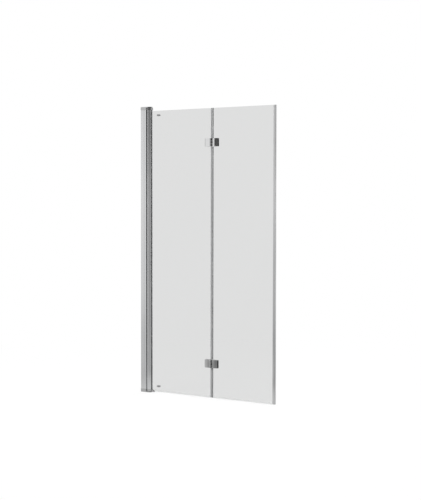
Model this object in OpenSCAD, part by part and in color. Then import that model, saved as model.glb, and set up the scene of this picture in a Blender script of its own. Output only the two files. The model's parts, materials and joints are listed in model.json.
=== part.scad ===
// Folding bath screen: a wall profile, a pivoting inner glass panel and an outer
// glass panel that folds onto the inner one on two small hinges.
// X runs from the wall along the screen, Y from the front to the back, Z up.
// The origin lies on the wall face, on the centre line, at the foot of the profile.

/* [Screen] */
// Width from the wall face to the free edge
screen_w = 800; // [650:10:1000]
// Height of the wall profile with both caps
screen_h = 1500; // [1200:10:1600]
// Thickness of the toughened glass
glass_t = 6; // [5:0.5:8]
// Height of the lower glass edge over the foot of the profile
glass_foot = 7; // [6.5:0.1:9]
// Distance from the upper glass edge to the top of the profile
glass_drop = 22; // [19:0.5:30]
// Ground-off corner of the long glass edges
glass_arris = 0.5; // [0.2:0.1:1]

/* [Wall channel] */
// How far the channel stands out from the wall
channel_depth = 33; // [30:0.5:40]
// Width of the channel across the screen
channel_w = 30; // [29:0.5:34]
// Thickness of the channel sides
channel_wall = 2; // [1.6:0.1:2.5]
// Thickness of the channel back, against the wall
channel_back = 2.5; // [2:0.1:4]
// Diameter of the wall screw holes
wall_hole_d = 5.5; // [4.5:0.1:6.5]
// Distance of the end wall screw holes from the ends of the profile
wall_hole_end = 110; // [80:5:200]
// Distance between the two middle wall screw holes
wall_hole_mid = 430; // [200:10:600]
// Depth of the drill line on the channel sides
drill_line = 0.5; // [0.2:0.1:0.8]

/* [Adjusting profile] */
// Thickness of the adjusting profile walls
adjust_wall = 1.8; // [1.4:0.1:2.2]
// Distance of the adjusting profile from the wall face, which trues the screen
adjust_out = 8; // [4:0.5:10]
// Clearance on each side between channel and adjusting profile
adjust_fit = 0.25; // [0.15:0.05:0.4]
// Distance of the locking screws from the wall face
lock_x = 21; // [19:0.5:23]
// Distance of the end locking screws from the ends of the profile
lock_end = 250; // [200:10:400]
// Shank diameter of the locking screws
lock_d = 3.9; // [3:0.1:4.5]
// Head diameter of the locking screws
lock_head_d = 7.2; // [6.5:0.1:8]
// Head height of the locking screws
lock_head_h = 2; // [1.6:0.1:2.4]
// Diameter of the snap caps over the locking screws
lock_cap_d = 11; // [10.4:0.1:14]

/* [Wall pivot] */
// Gap between the channel and the pivot profile when it is turned square to the wall
swing_gap = 1.5; // [1:0.1:3]
// How far the pivot tube is set back from the channel face
tube_setback = 1.5; // [1:0.1:2]
// Wall thickness of the pivot profile
pivot_wall = 1.8; // [1.4:0.1:2.2]
// Diameter of the pivot pins
pivot_pin_d = 8; // [6:0.5:9]
// Length of the pivot pins over the bracket plates
pivot_pin_len = 26; // [20:1:60]
// Wall thickness of the pivot bushes
pivot_bush_wall = 1.35; // [1:0.05:1.6]
// Flange thickness of the pivot bushes
pivot_flange_t = 0.8; // [0.6:0.1:1]
// Flange diameter of the pivot bushes
pivot_flange_d = 16; // [14:0.5:20]
// Radial clearance between a turning bush and its pin
run_fit = 0.05; // [0.03:0.01:0.08]
// Radial clearance of a pressed-in or seated part
seat_fit = 0.05; // [0.02:0.01:0.08]

/* [Glazing slot] */
// Length of the glazing arms past the pivot axis
arm_len = 15.5; // [15:0.5:24]
// Thickness of each glazing gasket beside the glass
gasket_t = 2.5; // [2.2:0.1:4]
// Height of the hooked lip at the end of each arm
lip_h = 3.6; // [3.4:0.1:5]
// Width of the hooked lip along the arm
lip_w = 1.8; // [1.4:0.1:2.2]
// How far the gasket stands out of the arms
gasket_nose = 1.2; // [1:0.1:3]

/* [End caps] */
// Height of each cap at the wall
cap_h = 17; // [16:0.5:24]
// Chamfer along the outer edge of each cap
cap_edge = 1; // [0.5:0.1:1.2]
// Height of the thin round nose of each cap
nose_h = 4.5; // [4:0.1:4.6]
// Wall thickness of the caps
cap_wall = 1.4; // [1.2:0.1:1.8]
// Clearance between a cap and what it covers
cap_fit = 0.1; // [0.05:0.05:0.2]
// How far the channel reaches into each cap
cap_lap = 3; // [2:0.5:6]
// Shank diameter of the bracket screws
bracket_screw_d = 4.2; // [3.5:0.1:4.5]
// Head diameter of the bracket screws
bracket_head_d = 7.6; // [7:0.1:8]
// Length of the bracket screws
bracket_screw_len = 32; // [25:1:50]
// Length of the glass shoe toe past the pivot axis
toe_len = 32; // [26:0.5:45]
// Thickness of the shoe cheeks beside the glass
cheek_t = 2; // [1.5:0.1:3]

/* [Fold hinges] */
// Distance of each hinge centre from the nearer glass end
hinge_inset = 173; // [120:1:300]
// Height of each hinge
hinge_h = 41; // [38:0.5:60]
// Distance from the fold axis to the end of each leaf
leaf_reach = 39; // [37:0.5:50]
// Thickness of the front leaves
leaf_t = 4.5; // [4:0.1:5]
// Radius of the dome across both leaves
leaf_dome = 560; // [400:20:1200]
// Rounding along the end of each leaf
leaf_round = 2.4; // [1:0.1:2.6]
// Radius of the leaf corners, seen from the front
leaf_corner = 3; // [1:0.5:5]
// Thickness of the clamp plates on the back
clamp_t = 3.7; // [3.2:0.1:5]
// Thickness of the pads between metal and glass
pad_t = 0.8; // [0.5:0.1:1.2]
// Diameter of the knuckles
knuckle_d = 14; // [13.4:0.1:15]
// Height of the middle knuckle with its bush flanges
middle_h = 14; // [12:0.5:18]
// Diameter of the hinge pins
hinge_pin_d = 6; // [5:0.1:6.4]
// Wall thickness of the hinge bushes
hinge_bush_wall = 1.15; // [0.8:0.05:1.2]
// Flange thickness of the hinge bushes
hinge_flange_t = 0.7; // [0.5:0.1:1]
// Gap between the folded leaves
fold_gap = 0.6; // [0.5:0.1:1]
// Distance of the clamp screws from the fold axis
screw_x = 25; // [24:0.5:29]
// Half the distance between the two clamp screws of a leaf
screw_z = 11.5; // [10:0.5:13]
// Shank diameter of the clamp screws
screw_d = 4.9; // [4:0.1:5]
// Head diameter of the clamp screws
screw_head_d = 8.4; // [7.6:0.1:9]
// Diameter of the bosses that reach into the glass holes
boss_d = 7.8; // [7:0.1:8.4]
// Wall thickness of the sleeves in the glass holes
sleeve_wall = 2; // [1.5:0.1:2.4]

/* [Seals and strip] */
// Wall thickness of the clip-on seals
seal_wall = 0.9; // [0.7:0.1:1.2]
// How far the centre seal grips the inner glass
centre_grip = 4; // [3:0.5:10]
// How far the rear lip of the centre seal reaches behind the outer glass
rear_lip = 2.5; // [2:0.5:6]
// Height that the bottom seals grip on the glass
bottom_grip = 7; // [5:0.5:12]
// Clearance of the bottom seals over the foot of the profile
fin_foot = 2; // [1:0.1:3]
// Width of the strip on the free edge
strip_w = 14; // [12:0.5:20]
// Wall thickness of the strip beside the glass
strip_wall = 1.6; // [1.2:0.1:2.4]
// Thickness of the strip past the glass edge
strip_nose = 3; // [2.5:0.1:4]

/* [Buffers] */
// Distance of the buffer centres from the wall face
buffer_x = 108; // [100:1:160]
// Distance of the upper buffer's centre from the upper glass edge
upper_buffer_drop = 24; // [20:1:60]
// Distance of the lower buffer's centre from the lower glass edge
lower_buffer_rise = 30; // [20:1:60]
// Width of each buffer along the screen
buffer_w = 18; // [14:0.5:26]
// Height of each buffer
buffer_h = 9; // [7:0.5:12]

/* [Hidden] */

$fn = 64;
// A cut runs this far past the face that it opens
past = 1;
// Smallest gap between pieces of bodies that move past each other
move_gap = 0.4;
// Gap between the ends of two seals, or of a seal and a hinge
seal_end_gap = 1;

// Wall channel and adjusting profile
channel_half = channel_w / 2;
adjust_half = channel_half - channel_wall - adjust_fit;
adjust_end = channel_depth - 1;
wall_hole_z = [wall_hole_end, (screen_h - wall_hole_mid) / 2, (screen_h + wall_hole_mid) / 2,
    screen_h - wall_hole_end];
lock_z = [lock_end, screen_h / 2, screen_h - lock_end];
lock_len = 9;
lock_slot = 0.8;
lock_slot_deep = 1;
// Width over the corners of the screw sockets, and their depth
bracket_socket = 2.6;
clamp_socket = 3;
socket_deep = 1.5;
// Clearance round a screw that passes through a piece
pass_fit = 0.1;
port_wall = 1.6;
port_r = bracket_screw_d / 2 + port_wall;
port_y = adjust_half - port_r;
port_in = 5;
port_x = adjust_out + port_in;

// Pivot profile, from the glass outwards
slot_mouth = glass_t / 2 + gasket_t;
arm_half = slot_mouth + lip_h;
arm_wall = 2.2;
slot_half = arm_half - arm_wall;
pivot_x = channel_depth + swing_gap + arm_half;
arm_end = pivot_x + arm_len;
tube_r = channel_half - tube_setback;
// The arm sides run off a circle that lies this far inside the tube
arm_blend = 0.1;
flare_r = tube_r - arm_blend;
flare_angle = atan2(arm_half, arm_len) + acos(flare_r / norm([arm_len, arm_half]));
flare_point = [flare_r * cos(flare_angle), flare_r * sin(flare_angle)];
bush_r = pivot_pin_d / 2 + run_fit + pivot_bush_wall;
core_r = bush_r + seat_fit + pivot_wall;
// Wall between the core of the tube and the glazing slot
floor_wall = 1.6;
slot_floor = pivot_x + core_r + floor_wall;
// Gap round the tube, which the lip seals close
cradle_gap = 1.2;
cradle_r = tube_r + cradle_gap;
seal_angle = 28;
seal_foot_r = 0.8;
// Distance of the foot's centre from the cradle face
seal_sink = 0.6 * seal_foot_r;

// Heights
cap_half = channel_half + cap_fit + cap_wall;
cap_floor = cap_wall + cap_fit;
flange_z = nose_h + run_fit;
moving_z = flange_z + pivot_flange_t;
glass_top = screen_h - glass_drop;
glass_h = glass_top - glass_foot;
hinge_z = [glass_foot + hinge_inset, glass_top - hinge_inset];
// Gap between the tube and the hollow of the caps, and how far the shoe's rim fills it
cap_clear = 2.5;
shoe_rim = 0.7;
cradle_cap_r = tube_r + cap_clear;
shoe_r = tube_r + shoe_rim;
cheek_half = glass_t / 2 + seat_fit + cheek_t;
nose_clear_r = norm([cap_half + move_gap, cheek_half]);

// Fold, where the free edge comes to lie this far past the caps
rest_gap = 1.5;
fold_x = (screen_w + pivot_x + cap_half + rest_gap) / 2;
leaf_face = glass_t / 2 + pad_t + leaf_t;
fold_y = -leaf_face - fold_gap / 2;
knuckle_r = knuckle_d / 2;
gap_half = sqrt(pow(knuckle_r + move_gap, 2) - pow(-fold_y - glass_t / 2, 2));
// Gap beside a knuckle, and between the glass edge and the floor of its slot
knuckle_gap = 0.5;
glass_end_gap = 0.5;
leaf_start = knuckle_r + knuckle_gap;
glass_x0 = slot_floor + glass_end_gap;
inner_x1 = fold_x - gap_half;
outer_x0 = fold_x + gap_half;
outer_x1 = screen_w - strip_nose;
// How far the bosses reach past the middle of the glass
boss_past = 2;
boss_len = glass_t / 2 + boss_past;
sleeve_r = boss_d / 2 + pass_fit + sleeve_wall;
head_drop = dome_drop(screw_x + screw_head_d / 2);
glass_hole_r = sleeve_r + 2 * pass_fit;
hinge_bush_r = hinge_pin_d / 2 + run_fit + hinge_bush_wall;
folded_gap = -2 * fold_y - glass_t;
// Metal left over the tapped holes, and the gap between a screw's tip and that metal
tapped_skin = 2;
screw_tip_gap = 0.5;
// Gap between the buffers and the folded glass
buffer_gap = 0.6;
buffer_t = folded_gap - buffer_gap;
strip_half = glass_t / 2 + seat_fit + strip_wall;
strip_x0 = screen_w - strip_w;

// Colours
aluminium_tint = [0.78, 0.79, 0.80];
chrome_tint = [0.86, 0.87, 0.88];
glass_tint = [0.80, 0.86, 0.86, 0.45];
seal_tint = [0.60, 0.61, 0.62];
rubber_tint = [0.25, 0.25, 0.26];
nylon_tint = [0.92, 0.92, 0.90];
steel_tint = [0.70, 0.71, 0.72];

module rounded_rod(radius, length, tip) {
    cylinder(r = radius, h = length - tip);
    translate([0, 0, length - tip]) cylinder(r1 = radius, r2 = radius - tip, h = tip);
}

module at_top() {
    translate([0, 0, screen_h]) mirror([0, 0, 1]) children();
}

module along_z(from_z, to_z) {
    translate([0, 0, from_z]) linear_extrude(to_z - from_z) children();
}

module along_x(from_x, to_x) {
    translate([from_x, 0, 0]) rotate([90, 0, 90]) linear_extrude(to_x - from_x) children();
}

module toward_back() {
    rotate([-90, 0, 0]) children();
}

// Wall channel
module channel_section() {
    difference() {
        translate([0, -channel_half]) square([channel_depth, channel_w]);
        translate([channel_back, -channel_half + channel_wall])
            square([channel_depth, channel_w - 2 * channel_wall]);
        for (side = [-1, 1])
            translate([lock_x, side * channel_half]) rotate(45)
                square(drill_line * sqrt(2), center = true);
    }
}

module wall_channel() color(aluminium_tint) {
    difference() {
        along_z(cap_h - cap_lap, screen_h - cap_h + cap_lap) channel_section();
        for (z = wall_hole_z)
            translate([-past, 0, z]) rotate([0, 90, 0])
                cylinder(d = wall_hole_d, h = channel_back + 2 * past);
        for (z = lock_z)
            translate([lock_x, channel_half - channel_wall - past, z]) toward_back()
                cylinder(d = lock_d + 2 * seat_fit, h = channel_wall + 2 * past);
    }
}

// Adjusting profile with its cradle for the pivot tube
module adjusting_section() {
    difference() {
        union() {
            for (side = [-1, 1]) {
                translate([adjust_out, side > 0 ? adjust_half - adjust_wall : -adjust_half])
                    square([adjust_end - adjust_out, adjust_wall]);
                translate([port_x, side * port_y]) circle(r = port_r);
            }
            intersection() {
                difference() {
                    translate([pivot_x, 0]) circle(r = cradle_r + adjust_wall);
                    translate([pivot_x, 0]) circle(r = cradle_r);
                }
                translate([0, -adjust_half]) square([adjust_end, 2 * adjust_half]);
            }
        }
        for (side = [-1, 1]) {
            translate([port_x, side * port_y]) circle(d = bracket_screw_d + 2 * seat_fit);
            seal_place(side) circle(r = seal_foot_r + seat_fit);
        }
    }
}

module seal_place(side) {
    translate([pivot_x, 0]) rotate(180 + side * seal_angle)
        translate([cradle_r + seal_sink, 0]) children();
}

module adjusting_profile() color(aluminium_tint) {
    difference() {
        along_z(cap_h, screen_h - cap_h) adjusting_section();
        for (z = lock_z)
            translate([lock_x, adjust_half - adjust_wall - past, z]) toward_back()
                cylinder(d = lock_d + 2 * seat_fit, h = adjust_wall + 2 * past);
    }
}

module pivot_lip_seal() color(rubber_tint) {
    lip_t = 0.8;
    lip_gap = 0.45;
    lip_tip = cradle_r - tube_r - lip_gap;
    for (side = [-1, 1])
        along_z(cap_h, screen_h - cap_h) seal_place(side) {
            circle(r = seal_foot_r);
            translate([-seal_sink - lip_tip, -lip_t / 2]) square([lip_tip + seal_sink, lip_t]);
        }
}

// Locking screws and their snap caps, on the back of the channel
module lock_places() {
    for (z = lock_z) translate([lock_x, channel_half, z]) toward_back() children();
}

module locking_screws() color(steel_tint) {
    lock_places() {
        difference() {
            cylinder(d = lock_head_d, h = lock_head_h);
            for (turn = [0, 90])
                rotate(turn) translate([-lock_head_d / 4, -lock_slot / 2, lock_head_h - lock_slot_deep])
                    cube([lock_head_d / 2, lock_slot, lock_slot_deep + past]);
        }
        translate([0, 0, -lock_len]) cylinder(d = lock_d, h = lock_len);
    }
}

module screw_caps() color(aluminium_tint) {
    cap_top = 1;
    lock_places() difference() {
        rounded_rod(lock_cap_d / 2, lock_head_h + cap_top + 2 * pass_fit, cap_top);
        translate([0, 0, -past])
            cylinder(d = lock_head_d + 2 * pass_fit, h = lock_head_h + past + pass_fit);
    }
}

// Pivot brackets, pins and screws
module nose_outline(half, back_x) {
    translate([back_x, -half]) square([pivot_x - back_x, 2 * half]);
    translate([pivot_x, 0]) circle(r = half);
}

module bracket_screw_places() {
    for (side = [-1, 1]) translate([port_x, side * port_y, cap_floor]) children();
}

module pivot_bracket() {
    rib_t = 2;
    wall_gap = 1;
    sink_h = (bracket_head_d - bracket_screw_d) / 2;
    difference() {
        union() {
            along_z(cap_floor, nose_h) nose_outline(cap_half - cap_wall - cap_fit, wall_gap);
            for (side = [-1, 1])
                translate([port_x, side * port_y, nose_h - past])
                    cylinder(r = port_r, h = cap_h - nose_h + past);
            translate([port_x - rib_t / 2, -port_y, nose_h - past])
                cube([rib_t, 2 * port_y, cap_h - nose_h + past]);
        }
        translate([pivot_x, 0, 0]) cylinder(d = pivot_pin_d + 2 * seat_fit, h = cap_h);
        bracket_screw_places() {
            translate([0, 0, -past])
                cylinder(d = bracket_screw_d + 2 * pass_fit, h = cap_h + 2 * past);
            cylinder(r1 = bracket_head_d / 2 + pass_fit, r2 = bracket_screw_d / 2 + pass_fit, h = sink_h);
        }
    }
}

module pivot_bracket_screws() {
    sink_h = (bracket_head_d - bracket_screw_d) / 2;
    bracket_screw_places() difference() {
        union() {
            cylinder(r1 = bracket_head_d / 2, r2 = bracket_screw_d / 2, h = sink_h);
            cylinder(d = bracket_screw_d, h = bracket_screw_len);
        }
        translate([0, 0, -past]) cylinder(d = bracket_socket, h = socket_deep + past, $fn = 6);
    }
}

module pivot_pin() {
    tip = 1;
    translate([pivot_x, 0, cap_floor])
        rounded_rod(pivot_pin_d / 2, nose_h - cap_floor + pivot_pin_len, tip);
}

module pivot_bush() {
    bush_end = nose_h + pivot_pin_len;
    translate([pivot_x, 0, 0]) difference() {
        union() {
            translate([0, 0, flange_z]) cylinder(d = pivot_flange_d, h = pivot_flange_t);
            translate([0, 0, flange_z]) cylinder(r = bush_r, h = bush_end - flange_z);
        }
        cylinder(d = pivot_pin_d + 2 * run_fit, h = bush_end + past);
    }
}

module end_cap() {
    block_x = channel_depth;
    front_wall = 2;
    pocket_x = pivot_x - cradle_cap_r - front_wall;
    difference() {
        union() {
            along_z(cap_edge, nose_h) nose_outline(cap_half, 0);
            along_x(0, pivot_x) polygon([[-cap_half, cap_edge], [cap_half, cap_edge],
                [cap_half - cap_edge, 0], [cap_edge - cap_half, 0]]);
            translate([pivot_x, 0, 0])
                cylinder(r1 = cap_half - cap_edge, r2 = cap_half, h = cap_edge);
            difference() {
                along_z(cap_edge, cap_h) translate([0, -cap_half]) square([block_x, 2 * cap_half]);
                translate([pivot_x, 0, nose_h]) cylinder(r = cradle_cap_r, h = cap_h);
            }
        }
        along_z(cap_wall, cap_h + past) translate([-past, cap_wall - cap_half])
            square([pocket_x + past, 2 * (cap_half - cap_wall)]);
        along_z(cap_h - cap_lap - cap_fit, cap_h + past) translate([-past, cap_wall - cap_half])
            difference() {
                square([block_x + 2 * past, 2 * (cap_half - cap_wall)]);
                translate([0, channel_wall + 2 * cap_fit])
                    square([block_x + 2 * past, 2 * (channel_half - channel_wall - cap_fit)]);
            }
        along_z(cap_wall, nose_h + cap_fit) nose_outline(cap_half - cap_wall, pocket_x - past);
    }
}

module top_pivot_bracket() color(steel_tint) at_top() pivot_bracket();
module bottom_pivot_bracket() color(steel_tint) pivot_bracket();
module upper_pivot_pin() color(steel_tint) at_top() pivot_pin();
module lower_pivot_pin() color(steel_tint) pivot_pin();
module top_cap() color(chrome_tint) at_top() end_cap();
module bottom_cap() color(chrome_tint) end_cap();
module bracket_screws() color(steel_tint) {
    pivot_bracket_screws();
    at_top() pivot_bracket_screws();
}

// Pivot profile
module pivot_outline() {
    translate([pivot_x, 0]) {
        circle(r = tube_r);
        polygon([[flare_point.x, -flare_point.y], [arm_len, -arm_half], [arm_len, arm_half],
            [flare_point.x, flare_point.y]]);
    }
}

module pivot_section() {
    web_t = 1.6;
    difference() {
        pivot_outline();
        difference() {
            intersection() {
                translate([pivot_x, 0]) circle(r = tube_r - pivot_wall);
                translate([pivot_x - tube_r, -tube_r])
                    square([tube_r + slot_floor - pivot_wall - pivot_x, 2 * tube_r]);
            }
            translate([pivot_x, 0]) circle(r = core_r);
            translate([pivot_x - tube_r, -web_t / 2]) square([tube_r, web_t]);
            translate([pivot_x - web_t / 2, -tube_r]) square([web_t, 2 * tube_r]);
        }
        translate([pivot_x, 0]) circle(r = bush_r + seat_fit);
        translate([slot_floor, -slot_half]) square([arm_end - lip_w - slot_floor, 2 * slot_half]);
        translate([slot_floor, -slot_mouth]) square([arm_end + past - slot_floor, 2 * slot_mouth]);
    }
}

module pivot_profile() color(aluminium_tint)
    along_z(cap_h, screen_h - cap_h) pivot_section();

module gasket_section() {
    face = glass_t / 2 + seat_fit;
    nose_r = 0.6;
    nose_out = slot_mouth + nose_r;
    foot_gap = 0.4;
    foot_x = slot_floor + foot_gap;
    hook_gap = 0.1;
    hook_x = arm_end - lip_w - hook_gap;
    translate([foot_x, face]) square([hook_x - foot_x, slot_half - seat_fit - face]);
    translate([hook_x - hook_gap, face])
        square([arm_end + gasket_nose - nose_r - hook_x + hook_gap, slot_mouth - seat_fit - face]);
    translate([arm_end + seat_fit, face])
        square([gasket_nose - nose_r - seat_fit, nose_out - face]);
    translate([arm_end + gasket_nose - nose_r, face]) square([nose_r, nose_out - face - nose_r]);
    translate([arm_end + gasket_nose - nose_r, nose_out - nose_r]) circle(r = nose_r);
}

module glazing_gasket_back() color(rubber_tint)
    along_z(cap_h, screen_h - cap_h) gasket_section();

module glazing_gasket_front() color(rubber_tint)
    along_z(cap_h, screen_h - cap_h) mirror([0, 1]) gasket_section();

module profile_top_plug() color(chrome_tint) {
    plug_cover = 1.2;
    spigot_gap = 0.4;
    spigot_z = glass_top + spigot_gap;
    difference() {
        union() {
            along_z(screen_h - cap_h, screen_h - moving_z) {
                pivot_outline();
                translate([arm_end - past, -arm_half])
                    square([past + gasket_nose + plug_cover, 2 * arm_half]);
            }
            along_z(spigot_z, screen_h - cap_h)
                translate([slot_floor + seat_fit, -glass_t / 2])
                    square([arm_end - lip_w - slot_floor - 2 * seat_fit, glass_t]);
        }
        translate([pivot_x, 0, screen_h - cap_h - past])
            cylinder(r = bush_r + seat_fit, h = cap_h + 2 * past);
    }
}

// Bottom shoe: the round foot of the pivot profile with a toe under the glass
module profile_bottom_shoe() color(chrome_tint) {
    toe_x = pivot_x + toe_len;
    toe_foot = 2;
    toe_edge = 1;
    difference() {
        union() {
            along_z(moving_z, cap_h) {
                translate([pivot_x, 0]) circle(r = shoe_r);
                pivot_outline();
            }
            translate([0, cheek_half, 0]) rotate([90, 0, 0]) linear_extrude(2 * cheek_half)
                polygon([[arm_end - past, toe_foot], [toe_x - toe_edge, toe_foot],
                    [toe_x, toe_foot + toe_edge], [toe_x, glass_foot + toe_edge],
                    [arm_end + gasket_nose, cap_h], [arm_end - past, cap_h]]);
        }
        translate([pivot_x, 0, -past]) cylinder(r = nose_clear_r, h = moving_z + past);
        translate([pivot_x, 0, 0]) cylinder(r = bush_r + seat_fit, h = cap_h + past);
        translate([slot_floor, -glass_t / 2 - seat_fit, glass_foot])
            cube([toe_x, glass_t + 2 * seat_fit, cap_h]);
    }
}

module upper_pivot_bush() color(nylon_tint) at_top() pivot_bush();
module lower_pivot_bush() color(nylon_tint) pivot_bush();

// Glass panels
module glass_section(from_x, to_x) {
    half = glass_t / 2;
    a = glass_arris;
    polygon([[from_x + a, -half], [to_x - a, -half], [to_x, -half + a], [to_x, half - a],
        [to_x - a, half], [from_x + a, half], [from_x, half - a], [from_x, -half + a]]);
}

module glass_panel(from_x, to_x, side) {
    difference() {
        along_z(glass_foot, glass_top) glass_section(from_x, to_x);
        for (z = hinge_z, dz = [-screw_z, screw_z])
            translate([fold_x + side * screw_x, -glass_t, z + dz]) toward_back()
                cylinder(r = glass_hole_r, h = 2 * glass_t);
    }
}

module inner_glass() color(glass_tint) glass_panel(glass_x0, inner_x1, -1);
module outer_glass() color(glass_tint) glass_panel(outer_x0, outer_x1, 1);

// Clip-on seal along the bottom edge of a panel, with two fins and a hollow bulb
module bottom_clip_section() {
    half = glass_t / 2 + seat_fit;
    outer = half + seal_wall;
    floor_z = glass_foot - seat_fit - seal_wall;
    grip_z = glass_foot + bottom_grip;
    fin_root = outer - 0.8;
    fin_in = outer - 0.2;
    fin_out = outer + 0.5;
    polygon([[-half, floor_z + seal_wall], [half, floor_z + seal_wall], [half, grip_z],
        [outer, grip_z], [outer, floor_z], [fin_out, fin_foot], [fin_in, fin_foot],
        [fin_root, floor_z], [-fin_root, floor_z], [-fin_in, fin_foot],
        [-fin_out, fin_foot], [-outer, floor_z], [-outer, grip_z], [-half, grip_z]]);
}

module bottom_seal(from_x, to_x) {
    bulb_r = 1.6;
    bulb_sink = 0.4;
    bulb_z = glass_foot - seat_fit - seal_wall + bulb_sink - bulb_r;
    difference() {
        union() {
            along_x(from_x, to_x) bottom_clip_section();
            translate([from_x, 0, bulb_z]) rotate([0, 90, 0]) cylinder(r = bulb_r, h = to_x - from_x);
        }
        translate([from_x - past, 0, bulb_z]) rotate([0, 90, 0])
            cylinder(r = bulb_r / 2, h = to_x - from_x + 2 * past);
    }
}

module inner_bottom_seal() color(seal_tint)
    bottom_seal(pivot_x + toe_len + seal_end_gap, inner_x1 - centre_grip - seal_end_gap);
module outer_bottom_seal() color(seal_tint)
    bottom_seal(outer_x0 + rear_lip + seal_end_gap, strip_x0 - seal_end_gap);

// Centre seal on the edge of the inner glass, seen from above
module centre_seal_section() {
    half = glass_t / 2 + seat_fit;
    outer = half + seal_wall;
    clip_x = inner_x1 - centre_grip;
    web_x = inner_x1 + seat_fit;
    face_x = web_x + seal_wall;
    neck_half = 1;
    neck_len = 0.2;
    bulb_wall = 0.8;
    bulb_r = min(glass_t / 2, (outer_x0 - move_gap - face_x - neck_len) / 2);
    bulb_x = outer_x0 - move_gap - bulb_r;
    lip_y = glass_t / 2 + move_gap;
    difference() {
        translate([clip_x, -outer]) square([face_x - clip_x, 2 * outer]);
        translate([clip_x - past, -half]) square([web_x - clip_x + past, 2 * half]);
    }
    difference() {
        union() {
            translate([bulb_x, 0]) circle(r = bulb_r);
            translate([face_x - seal_wall / 2, -neck_half]) square([bulb_x - face_x, 2 * neck_half]);
        }
        translate([bulb_x, 0]) circle(r = bulb_r - bulb_wall);
    }
    translate([face_x - seal_wall / 2, lip_y])
        square([outer_x0 + rear_lip - face_x + seal_wall / 2, seal_wall]);
}

module centre_seal(from_z, to_z) color(seal_tint) along_z(from_z, to_z) centre_seal_section();
module centre_seal_lower()
    centre_seal(glass_foot, hinge_z[0] - hinge_h / 2 - seal_end_gap);
module centre_seal_middle()
    centre_seal(hinge_z[0] + hinge_h / 2 + seal_end_gap, hinge_z[1] - hinge_h / 2 - seal_end_gap);
module centre_seal_upper() centre_seal(hinge_z[1] + hinge_h / 2 + seal_end_gap, glass_top);

// Strip on the free edge
module edge_strip() color(aluminium_tint) {
    corner = 1.6;
    along_z(glass_foot, glass_top) difference() {
        union() {
            translate([strip_x0, -strip_half]) square([strip_w - corner, 2 * strip_half]);
            translate([screen_w - corner - past, -strip_half + corner])
                square([corner + past, 2 * (strip_half - corner)]);
            for (side = [-1, 1])
                translate([screen_w - corner, side * (strip_half - corner)]) circle(r = corner);
        }
        translate([strip_x0 - past, -glass_t / 2 - seat_fit])
            square([outer_x1 + seat_fit - strip_x0 + past, glass_t + 2 * seat_fit]);
    }
}

// Buffers on the front of the inner glass, which the folded panel rests on
module buffer(z) color(rubber_tint) {
    round_r = 1.5;
    end_r = buffer_h / 2;
    translate([buffer_x, -glass_t / 2, z]) rotate([90, 0, 0]) {
        for (side = [-1, 1])
            translate([side * (buffer_w / 2 - end_r), 0, 0]) rounded_rod(end_r, buffer_t, round_r);
        translate([-buffer_w / 2 + end_r, 0, 0]) rotate([90, 0, 90])
            linear_extrude(buffer_w - 2 * end_r)
                polygon([[-end_r, 0], [end_r, 0], [end_r, buffer_t - round_r],
                    [end_r - round_r, buffer_t], [round_r - end_r, buffer_t],
                    [-end_r, buffer_t - round_r]]);
    }
}

module upper_buffer() buffer(glass_top - upper_buffer_drop);
module lower_buffer() buffer(glass_foot + lower_buffer_rise);

// Fold hinge pieces, drawn for the outer leaf round the fold line and mirrored for the inner
function dome_drop(x) = leaf_dome - sqrt(pow(leaf_dome, 2) - pow(x, 2));

module domed_plate(face, thickness) {
    half_h = hinge_h / 2 - leaf_corner;
    round_r = min(leaf_round, 0.9 * (thickness - dome_drop(leaf_reach)));
    end_x = leaf_reach - round_r;
    end_y = face - dome_drop(end_x) - round_r;
    intersection() {
        linear_extrude(hinge_h, center = true)
            polygon([[leaf_start, face - thickness], [leaf_start, face + past], [end_x, face + past],
                each [for (turn = [90, 45, 0])
                    [end_x + round_r * cos(turn), end_y + round_r * sin(turn)]],
                [leaf_reach, face - thickness]]);
        translate([0, face - leaf_dome, 0]) cylinder(r = leaf_dome, h = hinge_h, center = true, $fn = 720);
        translate([0, face - thickness - past, 0]) toward_back()
            linear_extrude(thickness + 2 * past) {
                translate([leaf_start - past, -hinge_h / 2])
                    square([leaf_reach - leaf_corner - leaf_start + past, hinge_h]);
                translate([leaf_reach - leaf_corner - past, -half_h])
                    square([leaf_corner + past, 2 * half_h]);
                for (side = [-1, 1])
                    translate([leaf_reach - leaf_corner, side * half_h]) circle(r = leaf_corner);
            }
    }
}

module leaf_body() {
    mirror([0, 1, 0]) domed_plate(leaf_face, leaf_t);
    for (dz = [-screw_z, screw_z])
        translate([screw_x, leaf_t - leaf_face - past, dz]) toward_back()
            cylinder(d = boss_d, h = pad_t + boss_len + past);
}

module knuckle(from_z, to_z) {
    neck_inset = 0.1;
    translate([0, fold_y, from_z]) cylinder(r = knuckle_r, h = to_z - from_z);
    translate([0, -leaf_face + neck_inset, from_z])
        cube([leaf_start + past, leaf_t - neck_inset, to_z - from_z]);
}

module tapped_holes() {
    for (dz = [-screw_z, screw_z])
        translate([screw_x, tapped_skin - leaf_face, dz]) toward_back()
            cylinder(d = screw_d + 2 * seat_fit, h = leaf_t + pad_t + boss_len + past);
}

module outer_leaf() {
    middle = middle_h / 2 - run_fit - hinge_flange_t;
    difference() {
        union() {
            leaf_body();
            knuckle(-middle, middle);
        }
        translate([0, fold_y, -middle - past])
            cylinder(r = hinge_bush_r + seat_fit, h = 2 * (middle + past));
        tapped_holes();
    }
}

module inner_leaf() {
    mirror([1, 0, 0]) difference() {
        union() {
            leaf_body();
            knuckle(middle_h / 2, hinge_h / 2);
            knuckle(-hinge_h / 2, -middle_h / 2);
        }
        translate([0, fold_y, -hinge_h / 2 - past])
            cylinder(d = hinge_pin_d + 2 * seat_fit, h = hinge_h + 2 * past);
        tapped_holes();
    }
}

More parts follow.
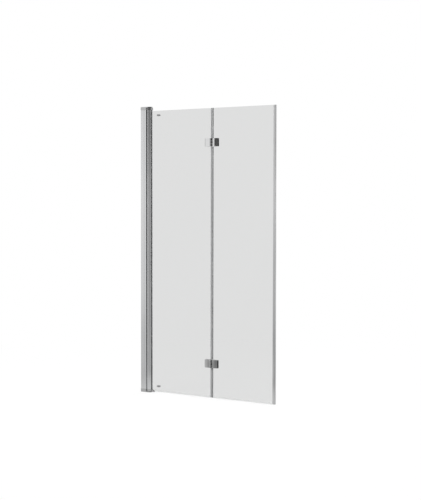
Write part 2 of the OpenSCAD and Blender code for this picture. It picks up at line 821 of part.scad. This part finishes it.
module hinge_pin() {
    tip = 0.5;
    end_inset = 0.5;
    length = hinge_h - 2 * end_inset;
    for (up = [0, 1]) mirror([0, 0, up])
        translate([0, fold_y, 0]) rounded_rod(hinge_pin_d / 2, length / 2, tip);
}

module hinge_bushes() {
    half_gap = 0.2;
    rim_inset = 0.5;
    flange_z = middle_h / 2 - run_fit - hinge_flange_t;
    for (up = [0, 1]) mirror([0, 0, up]) translate([0, fold_y, 0]) difference() {
        union() {
            translate([0, 0, half_gap]) cylinder(r = hinge_bush_r, h = flange_z + hinge_flange_t - half_gap);
            translate([0, 0, flange_z]) cylinder(r = knuckle_r - rim_inset, h = hinge_flange_t);
        }
        translate([0, 0, -past]) cylinder(d = hinge_pin_d + 2 * run_fit, h = middle_h);
    }
}

module clamp_plate() {
    inner_y = glass_t / 2 + pad_t;
    sink_h = (screw_head_d - screw_d) / 2;
    difference() {
        domed_plate(inner_y + clamp_t, clamp_t);
        for (dz = [-screw_z, screw_z])
            translate([screw_x, inner_y, dz]) toward_back() {
                translate([0, 0, -past])
                    cylinder(r = screw_d / 2 + pass_fit, h = clamp_t + 2 * past);
                translate([0, 0, clamp_t - head_drop - sink_h])
                    cylinder(r1 = screw_d / 2 + pass_fit, r2 = screw_head_d / 2 + pass_fit, h = sink_h);
                translate([0, 0, clamp_t - head_drop])
                    cylinder(r = screw_head_d / 2 + pass_fit, h = head_drop + past);
            }
    }
}

module clamp_screws() {
    sink_h = (screw_head_d - screw_d) / 2;
    head_y = glass_t / 2 + pad_t + clamp_t - head_drop;
    reach = head_y + leaf_face - tapped_skin - screw_tip_gap;
    for (dz = [-screw_z, screw_z])
        translate([screw_x, head_y, dz]) rotate([90, 0, 0]) difference() {
            union() {
                cylinder(r1 = screw_head_d / 2, r2 = screw_d / 2, h = sink_h);
                cylinder(d = screw_d, h = reach);
            }
            translate([0, 0, -past]) cylinder(d = clamp_socket, h = socket_deep + past, $fn = 6);
        }
}

module hinge_pads() {
    inset = 0.5;
    for (side = [-1, 1])
        difference() {
            translate([leaf_start + inset, side > 0 ? glass_t / 2 : -glass_t / 2 - pad_t,
                    inset - hinge_h / 2])
                cube([leaf_reach - leaf_start - 2 * inset, pad_t, hinge_h - 2 * inset]);
            for (dz = [-screw_z, screw_z])
                translate([screw_x, -glass_t, dz]) toward_back()
                    cylinder(d = boss_d + 2 * pass_fit, h = 2 * glass_t);
        }
}

module hole_sleeves() {
    for (dz = [-screw_z, screw_z])
        translate([screw_x, -glass_t / 2 + seat_fit, dz]) toward_back() difference() {
            cylinder(r = sleeve_r, h = glass_t - 2 * seat_fit);
            translate([0, 0, -past]) cylinder(d = boss_d + 2 * pass_fit, h = glass_t + 2 * past);
        }
}

module lower_place() {
    translate([fold_x, 0, hinge_z[0]]) children();
}

module upper_place() {
    translate([fold_x, 0, hinge_z[1]]) children();
}

module to_inner() {
    mirror([1, 0, 0]) children();
}

module upper_hinge_inner_leaf() color(chrome_tint) upper_place() inner_leaf();
module upper_hinge_inner_clamp() color(chrome_tint) upper_place() to_inner() clamp_plate();
module upper_hinge_inner_pads() color(rubber_tint) upper_place() to_inner() hinge_pads();
module upper_hinge_inner_sleeves() color(nylon_tint) upper_place() to_inner() hole_sleeves();
module upper_hinge_inner_screws() color(steel_tint) upper_place() to_inner() clamp_screws();
module upper_hinge_pin() color(steel_tint) upper_place() hinge_pin();
module lower_hinge_inner_leaf() color(chrome_tint) lower_place() inner_leaf();
module lower_hinge_inner_clamp() color(chrome_tint) lower_place() to_inner() clamp_plate();
module lower_hinge_inner_pads() color(rubber_tint) lower_place() to_inner() hinge_pads();
module lower_hinge_inner_sleeves() color(nylon_tint) lower_place() to_inner() hole_sleeves();
module lower_hinge_inner_screws() color(steel_tint) lower_place() to_inner() clamp_screws();
module lower_hinge_pin() color(steel_tint) lower_place() hinge_pin();
module upper_hinge_outer_leaf() color(chrome_tint) upper_place() outer_leaf();
module upper_hinge_outer_clamp() color(chrome_tint) upper_place() clamp_plate();
module upper_hinge_outer_pads() color(rubber_tint) upper_place() hinge_pads();
module upper_hinge_outer_sleeves() color(nylon_tint) upper_place() hole_sleeves();
module upper_hinge_outer_screws() color(steel_tint) upper_place() clamp_screws();
module upper_hinge_bushes() color(nylon_tint) upper_place() hinge_bushes();
module lower_hinge_outer_leaf() color(chrome_tint) lower_place() outer_leaf();
module lower_hinge_outer_clamp() color(chrome_tint) lower_place() clamp_plate();
module lower_hinge_outer_pads() color(rubber_tint) lower_place() hinge_pads();
module lower_hinge_outer_sleeves() color(nylon_tint) lower_place() hole_sleeves();
module lower_hinge_outer_screws() color(steel_tint) lower_place() clamp_screws();
module lower_hinge_bushes() color(nylon_tint) lower_place() hinge_bushes();

wall_channel();
adjusting_profile();
pivot_lip_seal();
locking_screws();
screw_caps();
top_pivot_bracket();
bottom_pivot_bracket();
bracket_screws();
upper_pivot_pin();
lower_pivot_pin();
top_cap();
bottom_cap();
pivot_profile();
upper_pivot_bush();
lower_pivot_bush();
profile_top_plug();
profile_bottom_shoe();
glazing_gasket_front();
glazing_gasket_back();
inner_glass();
inner_bottom_seal();
centre_seal_upper();
centre_seal_middle();
centre_seal_lower();
upper_buffer();
lower_buffer();
upper_hinge_inner_leaf();
upper_hinge_inner_clamp();
upper_hinge_inner_pads();
upper_hinge_inner_sleeves();
upper_hinge_inner_screws();
upper_hinge_pin();
lower_hinge_inner_leaf();
lower_hinge_inner_clamp();
lower_hinge_inner_pads();
lower_hinge_inner_sleeves();
lower_hinge_inner_screws();
lower_hinge_pin();
outer_glass();
edge_strip();
outer_bottom_seal();
upper_hinge_outer_leaf();
upper_hinge_outer_clamp();
upper_hinge_outer_pads();
upper_hinge_outer_sleeves();
upper_hinge_outer_screws();
upper_hinge_bushes();
lower_hinge_outer_leaf();
lower_hinge_outer_clamp();
lower_hinge_outer_pads();
lower_hinge_outer_sleeves();
lower_hinge_outer_screws();
lower_hinge_bushes();
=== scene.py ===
import json
import math

import bpy
import numpy as np
from mathutils import Matrix, Vector


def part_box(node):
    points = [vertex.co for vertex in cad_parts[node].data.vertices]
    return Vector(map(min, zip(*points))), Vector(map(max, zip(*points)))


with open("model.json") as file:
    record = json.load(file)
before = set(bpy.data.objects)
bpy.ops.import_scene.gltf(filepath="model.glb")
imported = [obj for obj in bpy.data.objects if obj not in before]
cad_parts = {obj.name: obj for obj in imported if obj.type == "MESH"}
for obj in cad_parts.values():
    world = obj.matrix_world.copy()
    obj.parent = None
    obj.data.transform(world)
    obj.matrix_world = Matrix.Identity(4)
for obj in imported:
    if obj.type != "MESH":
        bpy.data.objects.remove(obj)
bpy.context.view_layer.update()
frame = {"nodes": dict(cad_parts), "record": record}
print("frame loaded:", len(frame["nodes"]), "nodes")


# camera: a long lens, a metre up, in front of the screen and well to its right
cameraSettings = {
    "place": (3.3855, -4.7674, 1.0012),  # metres
    "yaw": 31.864,                       # degrees, to the left of straight back
    "pitch": 2.458,                      # degrees, downwards
    "roll": 0.10,
    "lens": 79.648,                      # mm on a 36 mm sensor
    "sensor": 36.0,
    "clip": (0.1, 60.0),                 # metres, near and far
}


def makeCamera(s):
    yaw, pitch, roll = (math.radians(s[k]) for k in ("yaw", "pitch", "roll"))
    forward = Vector((-math.sin(yaw) * math.cos(pitch),
                      math.cos(yaw) * math.cos(pitch),
                      -math.sin(pitch)))
    right = Vector((math.cos(yaw), math.sin(yaw), 0))
    up = right.cross(forward)
    tiltedRight = right * math.cos(roll) + up * math.sin(roll)
    tiltedUp = up * math.cos(roll) - right * math.sin(roll)
    data = bpy.data.cameras.new("camera")
    data.sensor_width, data.lens = s["sensor"], s["lens"]
    data.clip_start, data.clip_end = s["clip"]
    camera = bpy.data.objects.new("camera", data)
    bpy.context.scene.collection.objects.link(camera)
    turn = Matrix((tiltedRight, tiltedUp, -forward)).transposed().to_4x4()
    camera.matrix_world = Matrix.Translation(s["place"]) @ turn
    bpy.context.scene.camera = camera


makeCamera(cameraSettings)
bpy.context.scene.view_settings.view_transform = "Standard"
print("camera set")


# node helpers: each takes the node tree's nodes and links first
def startMaterial(name):
    material = bpy.data.materials.new(name)
    material.use_nodes = True
    nodes = material.node_tree.nodes
    return material, nodes, material.node_tree.links, nodes["Principled BSDF"]


# carries the values from one range over to another
def mapRange(nodes, links, source, before=(0, 1), after=(0, 1), smooth=False):
    node = nodes.new("ShaderNodeMapRange")
    node.interpolation_type = "SMOOTHSTEP" if smooth else "LINEAR"
    node.inputs["From Min"].default_value, node.inputs["From Max"].default_value = before
    node.inputs["To Min"].default_value, node.inputs["To Max"].default_value = after
    links.new(source, node.inputs["Value"])
    return node.outputs["Result"]


# a sum on one or two values, of which the second may be a plain number
def calculate(nodes, links, operation, first, second=None):
    node = nodes.new("ShaderNodeMath")
    node.operation = operation
    links.new(first, node.inputs[0])
    if isinstance(second, (int, float)):
        node.inputs[1].default_value = second
    elif second is not None:
        links.new(second, node.inputs[1])
    return node.outputs[0]


# two colours, mixed by a 0 to 1 value; the dark one may come from another node
def tint(nodes, links, source, dark, pale):
    mix = nodes.new("ShaderNodeMix")
    mix.data_type = "RGBA"
    if isinstance(dark, tuple):
        mix.inputs["A"].default_value = (*dark, 1)
    else:
        links.new(dark, mix.inputs["A"])
    mix.inputs["B"].default_value = (*pale, 1)
    links.new(source, mix.inputs["Factor"])
    return mix.outputs["Result"]


# noise on the object's own coordinates, with its cells stretched by one factor for each axis
def mappedNoise(nodes, links, stretch, detail):
    coords = nodes.new("ShaderNodeTexCoord")
    mapping = nodes.new("ShaderNodeMapping")
    mapping.inputs["Scale"].default_value = stretch
    noise = nodes.new("ShaderNodeTexNoise")
    noise.inputs["Scale"].default_value = 1.0
    noise.inputs["Detail"].default_value = detail
    links.new(coords.outputs["Object"], mapping.inputs["Vector"])
    links.new(mapping.outputs["Vector"], noise.inputs["Vector"])
    return noise.outputs["Fac"]


noiseMiddle = (0.3, 0.7)  # nearly all of a noise lies between these


# a noise, spread over the range from low to high
def spread(nodes, links, source, low=0, high=1):
    return mapRange(nodes, links, source, before=noiseMiddle, after=(low, high))


def bump(nodes, links, source, shader, depth, strength):
    node = nodes.new("ShaderNodeBump")
    node.inputs["Strength"].default_value = strength
    node.inputs["Distance"].default_value = depth
    links.new(source, node.inputs["Height"])
    links.new(node.outputs["Normal"], shader.inputs["Normal"])


# the first shader where the share is 0 and the second where it is 1, as the material's surface
def mixSurface(nodes, links, share, first, second):
    mix = nodes.new("ShaderNodeMixShader")
    links.new(share, mix.inputs["Fac"])
    links.new(first, mix.inputs[1])
    links.new(second, mix.inputs[2])
    links.new(mix.outputs["Shader"], nodes["Material Output"].inputs["Surface"])


foldX = frame["record"]["behaviour"]["joints"][1]["pos_m"][0]
bumpStrength = {"metal": 0.4, "soft": 0.5}

# Metals: each has its streaks along one way, a slow change of tone and a fine uneven gloss.
# The end-face entry is a painted dark reflection: the tone given to the faces that look along the
# screen, from one distance past an axis to another (metres).
metalFinishes = {
    "satinAluminium": {
        "dark": (0.79, 0.80, 0.81), "pale": (0.86, 0.865, 0.87), "gloss": (0.165, 0.205),
        "streak": (900, 900, 1.2), "cloud": (9, 9, 2.2), "relief": 0.000007,
    },
    "stripAluminium": {
        "dark": (0.84, 0.845, 0.85), "pale": (0.89, 0.893, 0.896), "gloss": (0.095, 0.125),
        "streak": (900, 900, 1.2), "cloud": (9, 9, 2.2), "relief": 0.000005,
    },
    "hingeChrome": {
        "dark": (0.75, 0.754, 0.758), "pale": (0.79, 0.793, 0.796), "gloss": (0.03, 0.07),
        "streak": (260, 260, 260), "cloud": (30, 30, 30), "relief": 0.0000012,
        # painted dark reflection: the hinge leaves' end faces get a near-black tone
        "ends": {"tone": (0.07, 0.07, 0.072), "axis": foldX, "past": (0.030, 0.032)},
    },
    "capNickel": {
        "dark": (0.55, 0.553, 0.556), "pale": (0.61, 0.613, 0.616), "gloss": (0.10, 0.16),
        "streak": (300, 300, 300), "cloud": (40, 40, 40), "relief": 0.000006,
        # painted dark reflection: the caps' end faces get a darker tone
        "ends": {"tone": (0.33, 0.332, 0.335), "axis": 0, "past": (0.052, 0.054)},
    },
    "brushedSteel": {
        "dark": (0.58, 0.58, 0.585), "pale": (0.68, 0.68, 0.685), "gloss": (0.22, 0.34),
        "streak": (1400, 1400, 120), "cloud": (60, 60, 60), "relief": 0.00001,
    },
}
# the end faces that take the painted dark reflection
facingX = (0.40, 0.65)  # a face turns into an end face as its normal's X goes between these


# 0 to 1 as the distance of a vector's X from the centre goes from the low limit to the high one
def sizeOfX(nodes, links, vector, centre, limits):
    split = nodes.new("ShaderNodeSeparateXYZ")
    links.new(vector, split.inputs["Vector"])
    offset = calculate(nodes, links, "SUBTRACT", split.outputs["X"], centre)
    return mapRange(nodes, links, calculate(nodes, links, "ABSOLUTE", offset), before=limits)


# 1 on the faces that look along X past the given distances from the axis, 0 elsewhere: the mask of
# the painted dark reflection on end faces
def paintedDarkEndShare(nodes, links, s):
    coords = nodes.new("ShaderNodeTexCoord")
    facing = sizeOfX(nodes, links, coords.outputs["Normal"], 0, facingX)
    farOut = sizeOfX(nodes, links, coords.outputs["Object"], s["axis"], s["past"])
    return calculate(nodes, links, "MULTIPLY", facing, farOut)


def makeMetal(name, s):
    material, nodes, links, shader = startMaterial(name)
    shader.inputs["Metallic"].default_value = 1.0
    streak = mappedNoise(nodes, links, s["streak"], detail=3)
    cloud = mappedNoise(nodes, links, s["cloud"], detail=2)
    colour = tint(nodes, links, spread(nodes, links, cloud), s["dark"], s["pale"])
    # paints a dark reflection onto the end faces
    if "ends" in s:
        colour = tint(nodes, links, paintedDarkEndShare(nodes, links, s["ends"]), colour, s["ends"]["tone"])
    links.new(colour, shader.inputs["Base Color"])
    links.new(spread(nodes, links, streak, *s["gloss"]), shader.inputs["Roughness"])
    bump(nodes, links, streak, shader, s["relief"], bumpStrength["metal"])
    return material


# plastics and rubbers: matt, with a slow change of tone and a fine skin
softFinishes = {
    "darkRubber": {"dark": (0.15, 0.15, 0.155), "pale": (0.22, 0.22, 0.225), "gloss": (0.45, 0.62),
                   "grain": (700, 700, 40), "relief": 0.00004},
    "blackGasket": {"dark": (0.035, 0.035, 0.037), "pale": (0.06, 0.06, 0.062), "gloss": (0.5, 0.65),
                    "grain": (700, 700, 40), "relief": 0.00004},
    "paleGasket": {"dark": (0.66, 0.665, 0.67), "pale": (0.74, 0.745, 0.75), "gloss": (0.45, 0.6),
                   "grain": (700, 700, 40), "relief": 0.00003},
    "greyBuffer": {"dark": (0.27, 0.27, 0.275), "pale": (0.36, 0.36, 0.365), "gloss": (0.40, 0.55),
                   "grain": (600, 600, 600), "relief": 0.00004},
    "whiteNylon": {"dark": (0.78, 0.78, 0.76), "pale": (0.86, 0.86, 0.84), "gloss": (0.35, 0.5),
                   "grain": (400, 400, 400), "relief": 0.00002},
}


def makeSoft(name, s):
    material, nodes, links, shader = startMaterial(name)
    grain = mappedNoise(nodes, links, s["grain"], detail=4)
    colour = tint(nodes, links, spread(nodes, links, grain), s["dark"], s["pale"])
    links.new(colour, shader.inputs["Base Color"])
    links.new(spread(nodes, links, grain, *s["gloss"]), shader.inputs["Roughness"])
    bump(nodes, links, grain, shader, s["relief"], bumpStrength["soft"])
    return material


# clear seals: the legs that grip the glass are clear, and the bulb of the centre seal is milky grey
sealFinish = {
    "clear": (0.985, 0.986, 0.986),
    "uneven": 0.99,                            # how dark the clear colour gets, as a share of it
    "ior": 1.03,
    "gloss": (0.02, 0.06),
    "grain": (300, 300, 8),
    "milky": (0.58, 0.585, 0.59),
    "milkyClearness": 0.3,                     # how much light the milky bulb lets through
    "bulbStart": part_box("inner_glass")[1][0],  # the bulb lies past this edge of the inner glass
    "bulbBlend": (-0.0004, 0.0002),            # metres past the edge, where clear turns to milky
}


def makeSeal(name, s, bulb):
    material, nodes, links, shader = startMaterial(name)
    shader.inputs["IOR"].default_value = s["ior"]
    grain = mappedNoise(nodes, links, s["grain"], detail=2)
    links.new(spread(nodes, links, grain, *s["gloss"]), shader.inputs["Roughness"])
    if bulb:
        coords = nodes.new("ShaderNodeTexCoord")
        split = nodes.new("ShaderNodeSeparateXYZ")
        links.new(coords.outputs["Object"], split.inputs["Vector"])
        blend = [s["bulbStart"] + step for step in s["bulbBlend"]]
        past = mapRange(nodes, links, split.outputs["X"], before=blend)
        colour = tint(nodes, links, past, s["clear"], s["milky"])
        clearness = mapRange(nodes, links, past, after=(1.0, s["milkyClearness"]))
        links.new(clearness, shader.inputs["Transmission Weight"])
    else:
        darkest = tuple(s["uneven"] * c for c in s["clear"])
        colour = tint(nodes, links, spread(nodes, links, grain), darkest, s["clear"])
        shader.inputs["Transmission Weight"].default_value = 1.0
    links.new(colour, shader.inputs["Base Color"])
    return material


# glass: clear with a neutral tint, lamps shine through it
glassFinish = {
    "colour": (0.733, 0.736, 0.735),
    "shadow": (0.9, 0.9, 0.9),
    "ior": 1.2,
    "gloss": (0.0, 0.012),
    "wave": (6, 6, 9),
}


def makeGlass(name, s):
    material, nodes, links, shader = startMaterial(name)
    shader.inputs["Base Color"].default_value = (*s["colour"], 1)
    shader.inputs["Transmission Weight"].default_value = 1.0
    shader.inputs["IOR"].default_value = s["ior"]
    wave = mappedNoise(nodes, links, s["wave"], detail=1)
    links.new(spread(nodes, links, wave, *s["gloss"]), shader.inputs["Roughness"])
    path = nodes.new("ShaderNodeLightPath")
    clear = nodes.new("ShaderNodeBsdfTransparent")
    clear.inputs["Color"].default_value = (*s["shadow"], 1)
    shadowRay = path.outputs["Is Shadow Ray"]
    mixSurface(nodes, links, shadowRay, shader.outputs["BSDF"], clear.outputs["BSDF"])
    return material


materials = {name: makeMetal(name, s) for name, s in metalFinishes.items()}
materials.update({name: makeSoft(name, s) for name, s in softFinishes.items()})
materials["clearGlass"] = makeGlass("clearGlass", glassFinish)
materials["clearSeal"] = makeSeal("clearSeal", sealFinish, bulb=False)
materials["bulbSeal"] = makeSeal("bulbSeal", sealFinish, bulb=True)

# the finish of each of the record's slots, and of the nodes whose name holds one of these words
slotFinish = {
    "satin_aluminium": "satinAluminium",
    "polished_chrome": "hingeChrome",
    "stainless_steel": "brushedSteel",
    "clear_glass": "clearGlass",
    "soft_seal": "clearSeal",
    "dark_rubber": "darkRubber",
    "white_nylon": "whiteNylon",
}
wordFinish = {
    "gasket_front": "blackGasket",
    "gasket_back": "paleGasket",
    "buffer": "greyBuffer",
    "centre_seal": "bulbSeal",
    "edge_strip": "stripAluminium",
    "top_cap": "capNickel",
    "bottom_cap": "capNickel",
    "profile_top": "capNickel",
    "profile_bottom": "capNickel",
}
smoothSettings = {
    "merge": 0.000002,  # metres
    "sharpest": 35.0,   # degrees between two faces
    "flatness": 100,    # how much more the large faces count
}


# merges a node's loose triangles and shades them as one surface, except over its sharp edges
def makeShading(s):
    group = bpy.data.node_groups.new("nodeShading", "GeometryNodeTree")
    group.interface.new_socket("Geometry", in_out="INPUT", socket_type="NodeSocketGeometry")
    group.interface.new_socket("Geometry", in_out="OUTPUT", socket_type="NodeSocketGeometry")
    start, end = group.nodes.new("NodeGroupInput"), group.nodes.new("NodeGroupOutput")
    merge = group.nodes.new("GeometryNodeMergeByDistance")
    merge.inputs["Distance"].default_value = s["merge"]
    faces = group.nodes.new("GeometryNodeSetShadeSmooth")
    faces.domain = "FACE"
    edges = group.nodes.new("GeometryNodeSetShadeSmooth")
    edges.domain = "EDGE"
    angle = group.nodes.new("GeometryNodeInputMeshEdgeAngle")
    flat = group.nodes.new("FunctionNodeCompare")
    flat.data_type, flat.operation = "FLOAT", "LESS_THAN"
    flat.inputs[1].default_value = math.radians(s["sharpest"])
    group.links.new(angle.outputs["Unsigned Angle"], flat.inputs[0])
    group.links.new(flat.outputs["Result"], edges.inputs["Shade Smooth"])
    chain = [start, merge, faces, edges, end]
    for one, other in zip(chain, chain[1:]):
        group.links.new(one.outputs["Geometry"], other.inputs["Geometry"])
    return group


# the second modifier keeps the large flat faces flat
def dressNode(node, finish, shading, s):
    node.data.materials.clear()
    node.data.materials.append(materials[finish])
    node.modifiers.new("shading", "NODES").node_group = shading
    flats = node.modifiers.new("flats", "WEIGHTED_NORMAL")
    flats.weight, flats.keep_sharp = s["flatness"], True


shading = makeShading(smoothSettings)
for part in frame["record"]["subparts"]:
    name = part["node"]
    byWord = [finish for word, finish in wordFinish.items() if word in name]
    finish = byWord[0] if byWord else slotFinish[part["material_slot"]]
    dressNode(frame["nodes"][name], finish, shading, smoothSettings)
print("materials set:", len(materials))


# Stage: a pale floor, and reflectors that only polished surfaces see. Both are grids of points.


# a mesh from an array of points [rows, columns, 3], where each four neighbours are one face
def gridMesh(name, points, tones=None):
    rows, columns = points.shape[:2]
    index = np.arange(rows * columns).reshape(rows, columns)
    corners = [index[:-1, :-1], index[:-1, 1:], index[1:, 1:], index[1:, :-1]]
    faces = np.stack(corners, -1).reshape(-1, 4)
    mesh = bpy.data.meshes.new(name)
    mesh.from_pydata(points.reshape(-1, 3).tolist(), [], faces.tolist())
    if tones is not None:
        tone = mesh.attributes.new("tone", "FLOAT", "POINT")
        tone.data.foreach_set("value", tones.astype(np.float32).ravel())
    thing = bpy.data.objects.new(name, mesh)
    bpy.context.scene.collection.objects.link(thing)
    return thing


# 1 for rays from the camera, from a reflection and through glass,
# and 0 for the rays that light the object
def backgroundShare(nodes, links):
    path = nodes.new("ShaderNodeLightPath")
    share = path.outputs["Is Camera Ray"]
    for other in ("Is Glossy Ray", "Is Transmission Ray"):
        share = calculate(nodes, links, "MAXIMUM", share, path.outputs[other])
    return share


floorSettings = {
    "half": 5.0,
    "points": 21,            # along each side
    "level": -0.0006,
    "colour": (0.8, 0.8, 0.8),
    "uneven": 0.98,          # how dark the colour gets, as a share of it
    "speckle": (3, 3, 3),
    "roughness": 0.8,
    "centre": (0.4, 0.0, 0.0),
    "reach": (0.9, 2.4),     # metres from the centre, between which the shadow fades out
    "shine": (0.905, 1.0),   # near and far
    "shadow": (0.115, 0.0),  # near and far
}


# a level square with the same step along X and Y
def makeFloor(s):
    side = np.linspace(-s["half"], s["half"], s["points"])
    x, y = np.meshgrid(side, side)
    floor = gridMesh("floor", np.stack([x, y, np.full(x.shape, s["level"])], -1))
    material, nodes, links, shader = startMaterial("floor")
    speckle = mappedNoise(nodes, links, s["speckle"], detail=2)
    darkest = tuple(s["uneven"] * c for c in s["colour"])
    links.new(tint(nodes, links, speckle, darkest, s["colour"]), shader.inputs["Base Color"])
    shader.inputs["Roughness"].default_value = s["roughness"]
    coords = nodes.new("ShaderNodeTexCoord")
    away = nodes.new("ShaderNodeVectorMath")
    away.operation = "DISTANCE"
    away.inputs[1].default_value = s["centre"]
    links.new(coords.outputs["Object"], away.inputs[0])
    white = nodes.new("ShaderNodeEmission")
    lit = nodes.new("ShaderNodeBsdfDiffuse")
    distance = away.outputs["Value"]
    for kind, socket in {"shine": white.inputs["Strength"], "shadow": lit.inputs["Color"]}.items():
        fade = mapRange(nodes, links, distance, before=s["reach"], after=s[kind], smooth=True)
        links.new(fade, socket)
    both = nodes.new("ShaderNodeAddShader")
    links.new(white.outputs["Emission"], both.inputs[0])
    links.new(lit.outputs["BSDF"], both.inputs[1])
    share = backgroundShare(nodes, links)
    mixSurface(nodes, links, share, shader.outputs["BSDF"], both.outputs["Shader"])
    floor.data.materials.append(material)


# Surroundings that only polished surfaces see: a far round wall and the ground before it.
# Angles are in degrees round from the front of the screen, first to the left in the photo,
# and each span of them has one brightness for each place. Places are degrees above the horizon
# on the wall, and metres out on the ground.
reflectorSettings = {
    "centre": (foldX, 0.0),
    "radius": 60.0,    # of the wall
    "horizon": 1.0,    # metres above the foot
    "level": 0.0005,   # of the ground
    "columns": 181,    # all round
    "wall": {
        "rows": 200,
        # its top fades into the white above
        "places": (-2.0, -0.6, 0.9, 2.4, 3.2, 4.0, 5.0, 20.0, 48.0),
        "tones": {
            # behind
            (-180, -162): (0.46, 0.48, 0.48, 0.48, 0.46, 0.43, 0.40, 0.35, 1),
            # pale screen, back right
            (-152, -108): (0.90, 0.95, 0.95, 0.95, 0.96, 0.98, 1.00, 0.85, 1),
            # dark side on the right
            (-95, -20): (0.40, 0.46, 0.38, 0.10, 0.06, 0.06, 0.08, 0.10, 1),
            # in front
            (4, 21): (0.50, 0.56, 0.55, 0.26, 0.14, 0.15, 0.15, 0.15, 1),
            # dark gap by the soft box
            (22.5, 25.5): (0.30, 0.25, 0.20, 0.11, 0.10, 0.08, 0.06, 0.06, 1),
            (27, 27.8): (0.30, 0.25, 0.20, 0.08, 0.06, 0.06, 0.06, 0.06, 1),
            # soft box
            (28.1, 30): (0.73, 0.80, 0.84, 0.85, 0.85, 0.86, 0.95, 0.80, 1),
            (32, 44): (0.73, 0.80, 0.84, 0.87, 0.88, 0.88, 0.76, 0.65, 1),
            # left
            (48, 140): (0.42, 0.45, 0.43, 0.28, 0.13, 0.15, 0.15, 0.15, 1),
            # behind, where the ring closes
            (180, 180): (0.46, 0.48, 0.48, 0.48, 0.46, 0.43, 0.40, 0.35, 1),
        },
    },
    "ground": {
        "rows": 90,
        "places": (0.04, 0.9, 1.25, 1.7, 3.3, 6.0, 60.0),
        "tones": {
            (-180, -162): (0.25, 0.25, 0.25, 0.26, 0.31, 0.39, 0.46),
            (-152, -110): (0.50, 0.48, 0.48, 0.50, 0.60, 0.75, 0.90),
            (-98, -4): (0.70, 0.20, 0.03, 0.12, 0.25, 0.28, 0.30),
            (7, 20): (0.62, 0.45, 0.45, 0.40, 0.37, 0.39, 0.40),
            (22.5, 25.5): (0.64, 0.27, 0.20, 0.28, 0.43, 0.43, 0.30),
            (27.8, 27.8): (0.65, 0.35, 0.33, 0.35, 0.43, 0.43, 0.30),
            # from here to 40 before the soft box
            (28.6, 28.6): (0.66, 0.34, 0.29, 0.40, 0.55, 0.78, 0.73),
            (29.3, 29.3): (0.66, 0.44, 0.47, 0.46, 0.55, 0.78, 0.73),
            (30, 30): (0.66, 0.41, 0.42, 0.45, 0.55, 0.78, 0.73),
            (34.6, 34.6): (0.66, 0.37, 0.30, 0.48, 0.55, 0.78, 0.73),
            (37, 37): (0.66, 0.43, 0.38, 0.50, 0.55, 0.78, 0.73),
            (40, 40): (0.66, 0.55, 0.54, 0.55, 0.55, 0.78, 0.73),
            (48, 48): (0.70, 0.50, 0.60, 0.58, 0.55, 0.50, 0.42),
            (90, 140): (0.75, 0.50, 0.28, 0.40, 0.34, 0.35, 0.40),
            (180, 180): (0.25, 0.25, 0.25, 0.26, 0.31, 0.39, 0.46),
        },
    },
}


# brightness from a table, on straight lines between its angles and between its places
def tableTone(table, left, place):
    angles = np.ravel(list(table["tones"]))
    columns = np.repeat(list(table["tones"].values()), 2, axis=0)
    byPlace = np.stack([np.interp(left, angles, row) for row in columns.T])
    return np.stack([np.interp(place, table["places"], column) for column in byPlace.T], -1)


# glows as bright as the mesh's own tone
def makeGlow():
    material, nodes, links, shader = startMaterial("reflector")
    nodes.remove(shader)
    glow = nodes.new("ShaderNodeEmission")
    attribute = nodes.new("ShaderNodeAttribute")
    attribute.attribute_name = "tone"
    links.new(attribute.outputs["Fac"], glow.inputs["Strength"])
    links.new(glow.outputs["Emission"], nodes["Material Output"].inputs["Surface"])
    material.cycles.emission_sampling = "NONE"
    return material


# Rings of points round the centre, at even angles and at each of the table's angles too.
# The wall's rings share a radius, and a ring's height above the horizon is the radius times
# the tangent of its place. The ground's rings are level, and a ring's place is its radius.
def makeReflectors(s):
    material = makeGlow()
    for kind in ("wall", "ground"):
        table = s[kind]
        spacing = np.linspace if kind == "wall" else np.geomspace
        place = spacing(table["places"][0], table["places"][-1], table["rows"])
        left = np.unique([*np.linspace(-180, 180, s["columns"]), *np.ravel(list(table["tones"]))])
        angle, away = np.meshgrid(np.radians(left), place)
        if kind == "wall":
            reach = np.full(away.shape, s["radius"])
            height = s["horizon"] + reach * np.tan(np.radians(away))
        else:
            reach = away
            height = np.full(away.shape, s["level"])
        x = s["centre"][0] - reach * np.sin(angle)
        y = s["centre"][1] - reach * np.cos(angle)
        points = np.stack([x, y, height], -1)
        card = gridMesh(kind + "Reflector", points, tableTone(table, left, place))
        card.data.materials.append(material)
        for ray in ("camera", "diffuse", "transmission", "volume_scatter", "shadow"):
            setattr(card, "visible_" + ray, False)


lampSettings = {
    "key": {"place": (-1.6, -3.2, 3.6), "size": 2.2, "watts": 55},
    "fill": {"place": (3.6, -2.2, 2.6), "size": 2.6, "watts": 30},
    "back": {"place": (0.6, 3.4, 3.2), "size": 2.6, "watts": 30},
}
lampAim = (0.4, 0.0, 0.8)  # about the middle of the screen


def makeLamps(lamps, aim):
    for name, s in lamps.items():
        data = bpy.data.lights.new(name, "AREA")
        data.size, data.energy = s["size"], s["watts"]
        lamp = bpy.data.objects.new(name, data)
        bpy.context.scene.collection.objects.link(lamp)
        way = Vector(aim) - Vector(s["place"])
        turn = way.to_track_quat("-Z", "Y").to_matrix().to_4x4()
        lamp.matrix_world = Matrix.Translation(s["place"]) @ turn
        lamp.visible_glossy = False


worldSettings = {"ambient": (0.62, 0.62, 0.62), "background": (1, 1, 1)}


def makeWorld(s):
    world = bpy.data.worlds.new("studio")
    bpy.context.scene.world = world
    world.use_nodes = True
    nodes, links = world.node_tree.nodes, world.node_tree.links
    colour = tint(nodes, links, backgroundShare(nodes, links), s["ambient"], s["background"])
    links.new(colour, nodes["Background"].inputs["Color"])


makeFloor(floorSettings)
makeReflectors(reflectorSettings)
makeLamps(lampSettings, lampAim)
makeWorld(worldSettings)
print("stage set")
